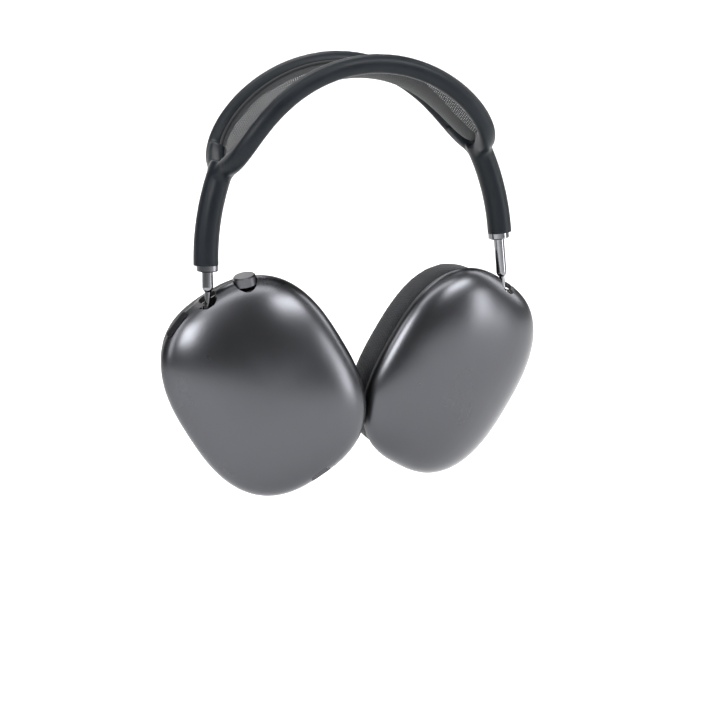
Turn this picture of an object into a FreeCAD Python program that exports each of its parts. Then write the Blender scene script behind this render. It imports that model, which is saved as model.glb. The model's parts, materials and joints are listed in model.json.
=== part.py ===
import FreeCAD, Part

import math
import os

import Sketcher

# Over ear headphones hanging by the crown of their band, with both ear cups turned so that their
# outer shells face forward (-Y).  Millimetres.  X runs from ear to ear (+X is the wearer's left),
# Z is up, and the origin is the underside of the knit canopy at the middle of the band, which is
# the point that rests on a head, a hook or a stand.

Vector = FreeCAD.Vector
Rotation = FreeCAD.Rotation
Placement = FreeCAD.Placement
X_AXIS = Vector(1, 0, 0)
Y_AXIS = Vector(0, 1, 0)
Z_AXIS = Vector(0, 0, 1)

SIDES = {"left": 1, "right": -1}

DIMENSIONS = {
    # headband centreline: a crown arc, then a leg arc on each side, tangent to each other
    "crown_arc_radius": 62.2,
    "crown_arc_angle": 61.5,
    "crown_rise": 7.0,
    "leg_arc_radius": 98.0,
    "leg_arc_angle": 26.6,
    # the two rails make one closed loop round the canopy
    "loop_reach": 73.7,
    "loop_half_width": 20.0,
    "rail_depth": 8.0,
    "rail_width": 6.0,
    "rail_core_diameter": 3.4,
    "canopy_thickness": 1.0,
    "canopy_gap": 3.5,
    "canopy_drop": 6.0,
    # legs, collars and sliding arms
    "leg_diameter": 10.3,
    "arm_inset": 0.6,
    "arm_lean": 3.0,
    "tube_diameter": 6.5,
    "tube_depth": 22.0,
    "tube_proud": 0.15,
    "bore_diameter": 5.0,
    "bore_depth": 21.0,
    "bush_diameter": 5.7,
    "bush_length": 4.0,
    "collar_diameter": 9.0,
    "collar_length": 2.5,
    "arm_diameter": 4.5,
    "arm_length": 27.95,
    "arm_tip_gap": 1.3,
    "shoe_length": 2.5,
    "pin_diameter": 2.4,
    "running_gap": 0.05,
    "arm_drop_left": 20.8,
    "arm_drop_right": 12.6,
    # attitude of each cup on its arm
    "cup_lean_left": 35.8,
    "cup_lean_right": 31.5,
    "cup_turn_left": 8.0,
    "cup_turn_right": 8.8,
    "cup_tilt_left": 11.4,
    "cup_tilt_right": 0.8,
    # ear cup outline, a superellipse, and its parts
    "cup_half_width": 37.2,
    "cup_half_length": 45.5,
    "cup_squareness": 2.63,
    "shell_depth": 14.0,
    "shell_wall": 1.5,
    "baffle_inset": 1.3,
    "baffle_thickness": 2.6,
    "joint_height": 1.5,
    "gimbal_depth": 8.0,
    "gimbal_barrel_diameter": 4.8,
    "gimbal_axle_diameter": 2.0,
    "cushion_gap": 0.4,
    "cushion_plate_thickness": 1.2,
    "cushion_inset": 1.8,
    "cushion_depth": 15.0,
    "ear_half_width": 19.5,
    "ear_half_length": 29.5,
    # controls and sockets
    "crown_angle": 20.6,
    "crown_diameter": 9.3,
    "crown_height": 2.3,
    "crown_proud": 1.7,
    "crown_slope": 8.0,
    "button_angle": -21.4,
    "button_length": 11.9,
    "button_width": 2.9,
    "button_height": 2.4,
    "button_proud": 0.25,
    "port_width": 9.0,
    "port_height": 3.2,
    # sound
    "driver_radius": 21.0,
    "driver_opening_radius": 16.0,
    "magnet_radius": 12.0,
    "driver_depth": 7.0,
}

doc = FreeCAD.newDocument("headphones")
sheet = doc.addObject("Spreadsheet::Sheet", "Dimensions")
for row, (name, value) in enumerate(DIMENSIONS.items(), start=1):
    sheet.set("A%d" % row, name)
    sheet.set("B%d" % row, str(value))
    sheet.setAlias("B%d" % row, name)
doc.recompute()

pieces = []


def dim(name):
    """The sheet's value of one driving dimension."""
    return float(sheet.get(name))


def keep(piece, label, placement=None):
    """Name a finished sub-part, put it in its place and list it for writing."""
    piece.Label = label
    if placement is not None:
        piece.Placement = placement
    pieces.append(piece)
    return piece


def shaped(label, shape, placement=None):
    """A sub-part whose form neither a sketch nor a primitive gives."""
    piece = doc.addObject("Part::Feature", label)
    piece.Shape = shape
    return keep(piece, label, placement)


# ---------------------------------------------------------------- sketch helpers


def origin_plane(body, role):
    return [plane for plane in body.Origin.OriginFeatures if plane.Role == role][0]


def new_sketch(body, role, name, offset=0.0):
    sketch = body.newObject("Sketcher::SketchObject", name)
    sketch.AttachmentSupport = [(origin_plane(body, role), "")]
    sketch.MapMode = "FlatFace"
    sketch.AttachmentOffset = Placement(Vector(0, 0, offset), Rotation())
    return sketch


def draw_polygon(sketch, corners):
    """A closed polygon with every corner held by two expressions on the sheet."""
    points = [tuple(evaluate(text) for text in corner) for corner in corners]
    count = len(points)
    for index in range(count):
        start = Vector(points[index][0], points[index][1], 0)
        end = Vector(points[(index + 1) % count][0], points[(index + 1) % count][1], 0)
        sketch.addGeometry(Part.LineSegment(start, end), False)
    for index in range(count):
        sketch.addConstraint(Sketcher.Constraint("Coincident", index, 2, (index + 1) % count, 1))
    for index, corner in enumerate(corners):
        for kind, other_axis, text, value in (
            ("DistanceX", -2, corner[0], points[index][0]),
            ("DistanceY", -1, corner[1], points[index][1]),
        ):
            if value == 0:
                sketch.addConstraint(Sketcher.Constraint("PointOnObject", index, 1, other_axis))
                continue
            number = sketch.addConstraint(Sketcher.Constraint(kind, -1, 1, index, 1, value))
            sketch.setExpression("Constraints[%d]" % number, bound(text))


def bound(text):
    """An expression with the sheet's name in front of each dimension in it."""
    words = str(text).replace("(", "( ").replace(")", " )").split()
    return " ".join("Dimensions." + word if word in DIMENSIONS else word for word in words)


def evaluate(text):
    """The number that an expression on the sheet gives."""
    doc_value = sheet.evalExpression(bound(text))
    return float(getattr(doc_value, "Value", doc_value))


def turned(label, corners, placement=None):
    """A body of revolution about its own Z: corners are (radius, height) expressions."""
    body = doc.addObject("PartDesign::Body", label + "_body")
    sketch = new_sketch(body, "XZ_Plane", label + "_profile")
    draw_polygon(sketch, corners)
    turn = body.newObject("PartDesign::Revolution", label + "_turn")
    turn.Profile = sketch
    turn.ReferenceAxis = (sketch, ["V_Axis"])
    turn.Angle = 360
    sketch.Visibility = False
    return keep(body, label, placement)


def slab(label, width, length, thickness, placement=None, corner_radius=None):
    """A rectangular plate padded up from its own XY plane, centred on the origin."""
    body = doc.addObject("PartDesign::Body", label + "_body")
    sketch = new_sketch(body, "XY_Plane", label + "_profile")
    half_width = "( %s ) / 2" % width
    half_length = "( %s ) / 2" % length
    minus = "-1 * "
    draw_polygon(
        sketch,
        [
            (minus + half_width, minus + half_length),
            (half_width, minus + half_length),
            (half_width, half_length),
            (minus + half_width, half_length),
        ],
    )
    pad = body.newObject("PartDesign::Pad", label + "_pad")
    pad.Profile = sketch
    pad.setExpression("Length", bound(thickness))
    sketch.Visibility = False
    if corner_radius is not None:
        doc.recompute()
        upright = [
            "Edge%d" % number
            for number, edge in enumerate(pad.Shape.Edges, start=1)
            if abs(edge.Vertexes[0].Z - edge.Vertexes[-1].Z) > 1e-6
        ]
        fillet = body.newObject("PartDesign::Fillet", label + "_corners")
        fillet.Base = (pad, upright)
        fillet.setExpression("Radius", bound(corner_radius))
    return keep(body, label, placement)


# ---------------------------------------------------------------- headband centreline


def leg_arc_centre():
    """Centre of the +X leg's arc in the XZ plane."""
    angle = math.radians(dim("crown_arc_angle"))
    crown = dim("crown_arc_radius")
    leg = dim("leg_arc_radius")
    centre_z = dim("crown_rise") - crown
    return Vector((crown - leg) * math.sin(angle), 0, centre_z + (crown - leg) * math.cos(angle))


def band_length():
    """Arc length from the middle of the crown to a leg's end."""
    crown = math.radians(dim("crown_arc_angle")) * dim("crown_arc_radius")
    leg = math.radians(dim("leg_arc_angle")) * dim("leg_arc_radius")
    return crown + leg


def band_angle(arc_length):
    """Slope of the centreline at a distance from the crown, in degrees, signed by its side."""
    distance = abs(arc_length)
    turn = math.degrees(distance / dim("crown_arc_radius"))
    if turn > dim("crown_arc_angle"):
        past = distance - math.radians(dim("crown_arc_angle")) * dim("crown_arc_radius")
        turn = dim("crown_arc_angle") + math.degrees(past / dim("leg_arc_radius"))
    return math.copysign(turn, arc_length)


def band_point(arc_length):
    """Point on the band's centreline at a distance along it, in the XZ plane."""
    angle = math.radians(abs(band_angle(arc_length)))
    outward = Vector(math.sin(angle), 0, math.cos(angle))
    if math.degrees(angle) <= dim("crown_arc_angle"):
        centre = Vector(0, 0, dim("crown_rise") - dim("crown_arc_radius"))
        point = centre + outward * dim("crown_arc_radius")
    else:
        point = leg_arc_centre() + outward * dim("leg_arc_radius")
    return Vector(math.copysign(point.x, arc_length), 0, point.z)


def band_outward(arc_length):
    angle = math.radians(band_angle(arc_length))
    return Vector(math.sin(angle), 0, math.cos(angle))


LOOP_END_POWER = 6.6


def loop_half_width(arc_length, reach, half_width):
    """Half distance between the two rails' centrelines, which meet at the loop's round ends."""
    ratio = min(abs(arc_length) / reach, 1.0)
    return half_width * math.sqrt(max(0.0, 1 - ratio**LOOP_END_POWER))


def loop_route(reach, half_width, count):
    """Evenly spaced points (along, across) round the +X half of the loop, front to back."""
    fine = []
    for step in range(2001):
        turn = math.pi * (step / 2000 - 0.5)
        cosine = round(math.cos(turn), 12)
        along = reach * cosine ** (2 / LOOP_END_POWER)
        fine.append((along, half_width * math.sin(turn)))
    run = [0.0]
    for before, after in zip(fine, fine[1:]):
        run.append(run[-1] + math.dist(before, after))
    route = []
    index = 0
    for step in range(count):
        target = run[-1] * step / (count - 1)
        while index < len(run) - 2 and run[index + 1] < target:
            index += 1
        share = (target - run[index]) / (run[index + 1] - run[index])
        before, after = fine[index], fine[index + 1]
        route.append(tuple(b + (a - b) * share for b, a in zip(before, after)))
    return route


def rail_loft(depth, width, count=33):
    """The +X half of the closed rail loop: ovals set square to its route, lofted into a solid."""
    route = loop_route(dim("loop_reach"), dim("loop_half_width"), count)
    spots = [band_point(along) + Vector(0, across, 0) for along, across in route]
    wires = []
    for index, (along, _) in enumerate(route):
        before = spots[max(index - 1, 0)]
        after = spots[min(index + 1, count - 1)]
        tangent = (after - before).normalize()
        if index in (0, count - 1):
            tangent = X_AXIS if index == 0 else X_AXIS * -1
        outward = band_outward(along)
        across = tangent.cross(outward).normalize()
        if depth == width:
            oval = Part.Circle(spots[index], tangent, depth / 2)
        else:
            oval = Part.Ellipse(
                spots[index] + outward * (depth / 2), spots[index] + across * (width / 2), spots[index]
            )
        wires.append(Part.Wire([oval.toShape()]))
    return Part.makeLoft(wires, True)


def both_halves(half):
    """A piece and its mirror image about the plane between the ears, fused."""
    whole = half.fuse(half.mirror(Vector(0, 0, 0), X_AXIS))
    return whole.removeSplitter()


def leg_sweep(diameter, start, end):
    """A round bar along the +X leg's arc, between two distances from the crown."""
    first = band_angle(start)
    sweep = band_angle(end) - first
    frame = Placement(leg_arc_centre(), Rotation(Y_AXIS, first) * LEG_TURN)
    bar = Part.makeTorus(
        dim("leg_arc_radius"), diameter / 2, Vector(0, 0, 0), Z_AXIS, 0, 360, sweep
    )
    bar.Placement = frame
    return bar


# turns a torus about Z, starting along X, into one about Y that starts at the top
LEG_TURN = Rotation(Vector(0, 0, 1), Vector(1, 0, 0), Vector(0, 1, 0), "ZXY")


def side_turn(side):
    """Half a turn about Z for the wearer's right side, which is the -X side."""
    return Placement(Vector(0, 0, 0), Rotation(Z_AXIS, 0 if SIDES[side] > 0 else 180))


def arm_frame(side):
    """On an arm's axis at the end of its leg: Z runs along the arm and away from the leg."""
    start = band_point(band_length()) - X_AXIS * dim("arm_inset")
    turn = Rotation(Y_AXIS, 180 - dim("arm_lean"))
    return side_turn(side).multiply(Placement(start, turn))


def along_arm(side, distance):
    """Point on an arm's axis this far beyond the leg's end."""
    return arm_frame(side).multVec(Vector(0, 0, distance))


def round_bar(name, side, diameter, low, high):
    """A Part::Cylinder along an arm's axis; diameter is an expression on the sheet."""
    bar = doc.addObject("Part::Cylinder", name)
    bar.setExpression("Radius", bound("( %s ) / 2" % diameter))
    bar.setExpression("Height", bound("( %s ) - ( %s )" % (high, low)))
    bar.Placement = arm_frame(side).multiply(Placement(Vector(0, 0, evaluate(low)), Rotation()))
    return bar


def arm_rod(diameter, low, high):
    """The same as a bare shape, for the leg on the +X side."""
    rod = Part.makeCylinder(diameter / 2, high - low, Vector(0, 0, low))
    rod.Placement = arm_frame("left")
    return rod


# ---------------------------------------------------------------- headband parts


def headband_frame_shape():
    """Spring steel core: a rod round the loop and down each leg to a straight bored tube."""
    rod = rail_loft(dim("rail_core_diameter"), dim("rail_core_diameter"))
    end = band_length()
    stem = leg_sweep(dim("rail_core_diameter") + 1, dim("loop_reach") - 1.5, end - dim("bore_depth"))
    tube = arm_rod(dim("tube_diameter"), -dim("tube_depth"), dim("tube_proud"))
    return both_halves(rod.fuse([stem, tube]).cut(tube_hollow()))


def tube_hollow():
    """Stepped bore in a leg: a wide mouth for the bush, then a bore for the arm's shoe."""
    mouth = arm_rod(dim("bush_diameter"), -dim("bush_length"), 1)
    return mouth.fuse(arm_rod(dim("bore_diameter"), -dim("bore_depth"), 1))


def headband_cover_shape(frame):
    """Soft rubber overmould: two rails that close into a loop, and two round legs."""
    rails = rail_loft(dim("rail_depth"), dim("rail_width"))
    leg = leg_sweep(dim("leg_diameter"), dim("loop_reach") - 2.5, band_length())
    return both_halves(rails.fuse(leg)).cut(frame).cut(both_sides(tube_hollow()))


def both_sides(half):
    return Part.makeCompound([half, half.mirror(Vector(0, 0, 0), X_AXIS)])


def canopy_shape(count=17):
    """Knit canopy: a thin sheet between the rails that sags in towards the head."""
    reach = dim("loop_reach") - dim("canopy_gap")
    half_width = dim("loop_half_width") - dim("canopy_gap")
    thickness = dim("canopy_thickness")
    last = reach * 0.985
    sections = []
    for step in range(count):
        along = last * math.sin(math.pi * (step / (count - 1) - 0.5))
        across = loop_half_width(along, reach, half_width)
        sag = dim("canopy_drop") * across / half_width
        outward = band_outward(along)
        centre = band_point(along)
        edge = Vector(0, across, 0)
        upper = Part.Arc(centre - edge, centre - outward * sag, centre + edge)
        sunk = centre - outward * thickness
        lower = Part.Arc(sunk + edge, sunk - outward * sag, sunk - edge)
        ends = [
            Part.LineSegment(centre + edge, sunk + edge),
            Part.LineSegment(sunk - edge, centre - edge),
        ]
        sections.append(
            Part.Wire([upper.toShape(), ends[0].toShape(), lower.toShape(), ends[1].toShape()])
        )
    return Part.makeLoft(sections, True)


def add_headband():
    frame = headband_frame_shape()
    shaped("headband_frame", frame)
    shaped("headband_cover", headband_cover_shape(frame))
    shaped("canopy_mesh", canopy_shape())
    for side in SIDES:
        bush = doc.addObject("Part::Cut", "bush_cut_" + side)
        bush.Base = round_bar("bush_outer_" + side, side, "bush_diameter", "-1 * bush_length", "0")
        hole = "arm_diameter + 2 * running_gap"
        bush.Tool = round_bar("bush_inner_" + side, side, hole, "-1 * bush_length - 1", "1")
        keep(bush, "guide_bush_" + side)
        collar_start = Placement(Vector(0, 0, dim("tube_proud")), Rotation())
        turned(
            "end_collar_" + side,
            [
                ("arm_diameter / 2 + 0.25", "0"),
                ("collar_diameter / 2", "0"),
                ("collar_diameter / 2", "collar_length - 0.4"),
                ("collar_diameter / 2 - 0.4", "collar_length"),
                ("arm_diameter / 2 + 0.25", "collar_length"),
            ],
            arm_frame(side).multiply(collar_start),
        )


# ---------------------------------------------------------------- arms


def joint_point(side):
    """Where an arm's pin meets the wall of its cup."""
    return along_arm(side, dim("arm_drop_" + side))


def add_arm(side):
    """A polished bar with a domed end, the pin in its tip, and a friction shoe on its top."""
    drop = "arm_drop_" + side
    exposed = "( %s - arm_tip_gap - arm_diameter / 2 )" % drop
    top = "( %s - arm_length )" % exposed
    bar = round_bar("arm_bar_" + side, side, "arm_diameter", top + " + shoe_length", exposed)
    dome = doc.addObject("Part::Sphere", "arm_dome_" + side)
    dome.setExpression("Radius", bound("arm_diameter / 2"))
    dome.Placement = Placement(along_arm(side, evaluate(exposed)), Rotation())
    arm = doc.addObject("Part::MultiFuse", "arm_fuse_" + side)
    arm.Shapes = [bar, dome]
    cut = doc.addObject("Part::Cut", "arm_cut_" + side)
    cut.Base = arm
    pin_start = drop + " - %s" % PIN_IN_ARM
    pin_end = drop + " + gimbal_depth - %s" % PIN_ABOVE_AXLE
    cut.Tool = round_bar("arm_pin_hole_" + side, side, "pin_diameter", pin_start, pin_end)
    keep(cut, "arm_" + side)
    pin = round_bar("arm_pin_solid_" + side, side, "pin_diameter", pin_start, pin_end)
    keep(pin, "arm_pin_" + side)
    shoe_diameter = "bore_diameter - 2 * running_gap"
    shoe = round_bar("shoe_bar_" + side, side, shoe_diameter, top, top + " + shoe_length")
    keep(shoe, "slide_shoe_" + side)


PIN_IN_ARM = 7.0
PIN_ABOVE_AXLE = 1.3


# ---------------------------------------------------------------- ear cup geometry
# Cup frame: Y along the cup's long axis towards the joint, Z outward through the shell, origin at
# the middle of the seam between the shell and the baffle.  The right cup is the mirror image.

SEAM_TURN = Rotation(X_AXIS, 90)


def swivel_rotation(side):
    """Attitude of the swivel barrel: upright along the arm, turned with the cup."""
    sign = SIDES[side]
    arm = Rotation(Y_AXIS, -sign * dim("arm_lean"))
    return arm * Rotation(Z_AXIS, sign * dim("cup_turn_" + side))


def cup_rotation(side):
    tilt = Rotation(X_AXIS, dim("cup_tilt_" + side))
    lean = Rotation(Y_AXIS, SIDES[side] * dim("cup_lean_" + side))
    return swivel_rotation(side) * tilt * lean * SEAM_TURN


def joint_in_cup():
    """The joint point in the cup frame: on the wall at the end of the long axis."""
    return Vector(0, dim("cup_half_length") - 0.25, dim("joint_height"))


def pin_direction(side):
    """From the joint into the cup, in the cup frame, when the cup is not tilted."""
    lean = math.radians(dim("cup_lean_" + side))
    return Vector(SIDES[side] * math.sin(lean), -math.cos(lean), 0)


def gimbal_in_cup(side):
    return joint_in_cup() + pin_direction(side) * dim("gimbal_depth")


def gimbal_point(side):
    """Where the pin's axis crosses the tilt axle."""
    return along_arm(side, dim("arm_drop_" + side) + dim("gimbal_depth"))


def cup_frame(side):
    rotation = cup_rotation(side)
    return Placement(gimbal_point(side) - rotation.multVec(gimbal_in_cup(side)), rotation)


def outline_point(angle, inset=0.0):
    """Point on the cup's outline at an angle from the long axis, positive towards +X."""
    across = math.sin(math.radians(angle))
    along = math.cos(math.radians(angle))
    power = dim("cup_squareness")
    half_width = dim("cup_half_width") - inset
    half_length = dim("cup_half_length") - inset
    total = abs(across / half_width) ** power + abs(along / half_length) ** power
    radius = total ** (-1 / power)
    return Vector(radius * across, radius * along, 0)


def wall_frame(angle, height, slope):
    """On the wall at an angle: X along it, Y towards the shell's face, Z outward and raised."""
    spot = outline_point(angle)
    power = dim("cup_squareness")
    slope_x = math.copysign(abs(spot.x) ** (power - 1), spot.x) / dim("cup_half_width") ** power
    slope_y = math.copysign(abs(spot.y) ** (power - 1), spot.y) / dim("cup_half_length") ** power
    outward = Vector(slope_x, slope_y, 0).normalize()
    along = Z_AXIS.cross(outward)
    shrink = math.sqrt(1 - (height / dim("shell_depth")) ** 2)
    spot = spot * shrink + Vector(0, 0, height)
    frame = Rotation(along, Z_AXIS, outward, "ZXY")
    return Placement(spot, frame * Rotation(X_AXIS, -slope))


def wall_slope(angle, height):
    """How far the wall's outward direction is raised from the seam's plane."""
    radius = outline_point(angle).Length
    depth = dim("shell_depth")
    shrink = math.sqrt(1 - (height / depth) ** 2)
    return math.degrees(math.atan(radius * height / (depth**2 * shrink)))


def outline_wire(half_width, half_length, height, count=48):
    """A superellipse as one smooth closed curve."""
    power = 2 / dim("cup_squareness")
    points = []
    for step in range(count):
        angle = 2 * math.pi * step / count
        cosine, sine = math.cos(angle), math.sin(angle)
        points.append(
            Vector(
                math.copysign(half_width * abs(cosine) ** power, cosine),
                math.copysign(half_length * abs(sine) ** power, sine),
                height,
            )
        )
    curve = Part.BSplineCurve()
    curve.interpolate(even_points(points), PeriodicFlag=True)
    return Part.Wire([curve.toShape()])


def even_points(points):
    """The same closed outline with its points spread evenly along it."""
    closed = points + [points[0]]
    run = [0.0]
    for before, after in zip(closed, closed[1:]):
        run.append(run[-1] + before.distanceToPoint(after))
    spread = []
    index = 0
    for step in range(len(points)):
        target = run[-1] * step / len(points)
        while run[index + 1] < target:
            index += 1
        share = (target - run[index]) / (run[index + 1] - run[index])
        spread.append(closed[index] + (closed[index + 1] - closed[index]) * share)
    return spread


def outline_slab(inset, low, high):
    """A flat plate with the cup's outline, set in from it by a distance."""
    wire = outline_wire(dim("cup_half_width") - inset, dim("cup_half_length") - inset, low)
    return Part.Face(wire).extrude(Vector(0, 0, high - low))


def ear_slab(grow, low, high):
    """A plug with the outline of the opening round the ear."""
    wire = outline_wire(dim("ear_half_width") + grow, dim("ear_half_length") + grow, low)
    return Part.Face(wire).extrude(Vector(0, 0, high - low))


DOME_STEPS = 8
DOME_TOP_ANGLE = 82


def dome(inset, depth):
    """A pillow over the cup's outline: elliptical in section, upright at the seam."""
    wires = []
    for step in range(DOME_STEPS + 1):
        angle = math.radians(DOME_TOP_ANGLE * step / DOME_STEPS)
        scale = math.cos(angle)
        wires.append(
            outline_wire(
                (dim("cup_half_width") - inset) * scale,
                (dim("cup_half_length") - inset) * scale,
                depth * math.sin(angle),
            )
        )
    return Part.makeLoft(wires, True)


def cup_cavity():
    wall = dim("shell_wall")
    return dome(wall, dim("shell_depth") - wall)


def oval_bar(half_width, half_height, low, high, frame):
    """A straight bar with a pill section, along the Z of a frame."""
    flat = half_width - half_height
    box = Part.makeBox(2 * flat, 2 * half_height, high - low, Vector(-flat, -half_height, low))
    ends = [
        Part.makeCylinder(half_height, high - low, Vector(x, 0, low)) for x in (-flat, flat)
    ]
    bar = box.fuse(ends).removeSplitter()
    bar.Placement = frame
    return bar


# ---------------------------------------------------------------- ear cup parts

POST_SPOTS = [Vector(x, y, 0) for x in (-24, 24) for y in (-25, 25)]
POST_HEIGHT = 5.0
RECESS_HALF_WIDTH = 5.1
RECESS_HALF_HEIGHT = 4.1
RECESS_DEPTH = 1.8
PIN_SLOT_HALF_WIDTH = 3.8
PIN_SLOT_HALF_HEIGHT = 3.2
SHELL_CUT_DEPTH = 6.0


def recess_frame(side, shift):
    """Square to the wall at the end of the long axis, moved towards the pin's far end."""
    middle = joint_in_cup() + Vector(SIDES[side] * shift, 0, 0)
    return Placement(middle, Rotation(X_AXIS, -90))


def joint_recess(side, depth=RECESS_DEPTH):
    """The oval opening of the shell that takes the liner and clears the swivel barrel."""
    return oval_bar(RECESS_HALF_WIDTH, RECESS_HALF_HEIGHT, -depth, 6, recess_frame(side, 1.6))


def pin_slot(side):
    """The opening of the liner: it clears the pin over the cup's whole tilt."""
    half_height = PIN_SLOT_HALF_HEIGHT
    return oval_bar(PIN_SLOT_HALF_WIDTH, half_height, -RECESS_DEPTH, 6, recess_frame(side, 0.5))


def crown_frame():
    return wall_frame(dim("crown_angle"), dim("crown_height"), dim("crown_slope"))


def button_frame():
    angle, height = dim("button_angle"), dim("button_height")
    return wall_frame(angle, height, wall_slope(angle, height))


def port_frame():
    return wall_frame(180, 3.4, 0)


def crown_hole():
    hole = Part.makeCylinder(dim("crown_diameter") / 2 + 0.25, 9, Vector(0, 0, -4.2))
    hole.Placement = crown_frame()
    return hole


def button_hole():
    return oval_bar(
        dim("button_length") / 2 + 0.15, dim("button_width") / 2 + 0.15, -3.2, 3, button_frame()
    )


def port_hole(grow=0.05):
    return oval_bar(
        dim("port_width") / 2 + grow, dim("port_height") / 2 + grow, -8, 3, port_frame()
    )


def light_cylinder(low, high, grow=0.0):
    light = Part.makeCylinder(0.8 + grow, high - low, Vector(7.5, 0, low))
    light.Placement = port_frame()
    return light


def shell_shape(side):
    """Aluminium shell with posts for the screws and holes for the joint and the controls."""
    shell = dome(0, dim("shell_depth")).cut(cup_cavity())
    for spot in POST_SPOTS:
        post = Part.makeCylinder(2.2, 9, spot).common(dome(0.5, dim("shell_depth") - 0.5))
        shell = shell.fuse(post)
        shell = shell.cut(Part.makeCylinder(0.9, POST_HEIGHT, spot))
    shell = shell.cut(joint_recess(side, SHELL_CUT_DEPTH))
    if side == "right":
        for hole in (crown_hole(), button_hole(), port_hole(), light_cylinder(-6, 3, 0.02)):
            shell = shell.cut(hole)
    return shell.removeSplitter()


def recess_liner_shape(side):
    """Oval bezel round the joint, flush with the wall."""
    envelope = dome(0, dim("shell_depth")).fuse(outline_slab(0, -dim("baffle_thickness"), 0.02))
    sleeve = joint_recess(side).common(envelope)
    return largest(sleeve.cut(pin_slot(side)))


def largest(shape):
    """The biggest solid of a shape."""
    return max(shape.Solids, key=lambda solid: solid.Volume)


BRACKET_HALF_WIDTH = 5.6
BRACKET_SLOT = 3.0
BRACKET_FLOOR = 2.45


def bracket_frame(side):
    """At the gimbal's centre: Y along the pin and out of the cup, X along the tilt axle."""
    direction = pin_direction(side) * -1
    return Placement(gimbal_in_cup(side), Rotation(direction.cross(Z_AXIS), direction, Z_AXIS, "ZXY"))


def bracket_box(half_width, low_y, high_y, low_z, high_z, side):
    box = Part.makeBox(
        2 * half_width, high_y - low_y, high_z - low_z, Vector(-half_width, low_y, low_z)
    )
    box.Placement = bracket_frame(side)
    return box


def bracket_shape(side):
    """Moulded cradle that holds the tilt axle by its ends and sits in a notch of the baffle."""
    low = -dim("joint_height") - BRACKET_FLOOR
    block = bracket_box(BRACKET_HALF_WIDTH, -4.5, 2.0, low, 3.0, side)
    block = block.common(cup_cavity().fuse(outline_slab(2.0, -BRACKET_FLOOR, 0.02)))
    slot = bracket_box(BRACKET_SLOT, -3.6, 4.0, low + 0.5, 4.0, side)
    block = block.cut(slot).cut(axle_cylinder(side, 0.04))
    return largest(block)


def baffle_notch(side):
    low = -dim("joint_height") - BRACKET_FLOOR - 0.3
    notch = bracket_box(BRACKET_HALF_WIDTH, -4.5, 12.0, low, 3.0, side)
    return notch


def axle_cylinder(side, grow):
    """The tilt axle, across the cup and square to the pin."""
    half = BRACKET_HALF_WIDTH - 0.5
    axle = Part.makeCylinder(
        dim("gimbal_axle_diameter") / 2 + grow, 2 * half, Vector(-half, 0, 0), X_AXIS
    )
    axle.Placement = bracket_frame(side)
    return axle


def barrel_frame(side):
    """The swivel barrel stands on the pin's axis and turns with the cup."""
    return Placement(gimbal_point(side), swivel_rotation(side))


BARREL_TOP = 3.6
BARREL_BOTTOM = 2.0


def barrel_shape():
    """Swivel barrel: bored from above for the pin and crossways for the axle."""
    radius = dim("gimbal_barrel_diameter") / 2
    barrel = Part.makeCylinder(
        radius, BARREL_TOP + BARREL_BOTTOM, Vector(0, 0, -BARREL_BOTTOM)
    )
    bore = Part.makeCylinder(
        dim("pin_diameter") / 2 + dim("running_gap"), 4, Vector(0, 0, PIN_ABOVE_AXLE - 0.1)
    )
    cross = Part.makeCylinder(
        dim("gimbal_axle_diameter") / 2, 4 * radius, Vector(-2 * radius, 0, 0), X_AXIS
    )
    return barrel.cut(bore).cut(cross)


def upright_axle_shape():
    half = BRACKET_HALF_WIDTH - 0.5
    return Part.makeCylinder(
        dim("gimbal_axle_diameter") / 2, 2 * half, Vector(-half, 0, 0), X_AXIS
    )


MAGNET_SPOTS = [Vector(x, y, 0) for x in (-29.5, 29.5) for y in (-9, 9)]
MAGNET_SPOTS += [Vector(x, -36.5, 0) for x in (-9, 9)]


def magnets_shape(grow=0.0):
    """Small discs let into the cushion side of the baffle; they hold the cushion on."""
    low = -dim("baffle_thickness") - grow
    return Part.makeCompound(
        [Part.makeCylinder(2.0, 1.6 + grow, spot + Vector(0, 0, low)) for spot in MAGNET_SPOTS]
    )


def screws_shape(grow=0.0):
    """Four pan head screws that hold the baffle to the shell's posts."""
    low = -dim("baffle_thickness")
    screws = []
    for spot in POST_SPOTS:
        head = Part.makeCylinder(1.7 + grow, 1.0 + grow, spot + Vector(0, 0, low - grow))
        shank = Part.makeCylinder(0.9, -low + POST_HEIGHT - 1.0, spot + Vector(0, 0, low + 0.5))
        socket = Part.makeCylinder(0.6, 0.5, spot + Vector(0, 0, low))
        screw = head.fuse(shank)
        screws.append(screw if grow else screw.cut(socket))
    return Part.makeCompound(screws)


def baffle_shape(side):
    """Plate that closes the shell and carries the driver, the cradle and the magnets."""
    thickness = dim("baffle_thickness")
    plate = outline_slab(dim("baffle_inset"), -thickness, 0)
    opening = Part.makeCylinder(dim("driver_opening_radius"), 10, Vector(0, 0, -5))
    recess = Part.makeCylinder(dim("driver_opening_radius") + 2, 0.8, Vector(0, 0, -thickness))
    tools = [opening, recess, baffle_notch(side), magnets_shape(0.0), screws_shape(0.05)]
    tools.append(joint_recess(side))
    if side == "right":
        tools.append(crown_hole())
    for tool in tools:
        plate = plate.cut(tool)
    return largest(plate)


def cushion_plate_shape():
    """Moulded ring behind the cushion, drawn to the baffle by the magnets."""
    high = -dim("baffle_thickness") - dim("cushion_gap")
    low = high - dim("cushion_plate_thickness")
    return outline_slab(dim("cushion_inset") + 1.0, low, high).cut(ear_slab(0.4, low - 1, high + 1))


def ear_mesh_shape():
    """Thin acoustic cloth across the opening of the cushion's plate."""
    high = -dim("baffle_thickness") - dim("cushion_gap")
    return ear_slab(0.4, high - 0.9, high - 0.3)


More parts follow.
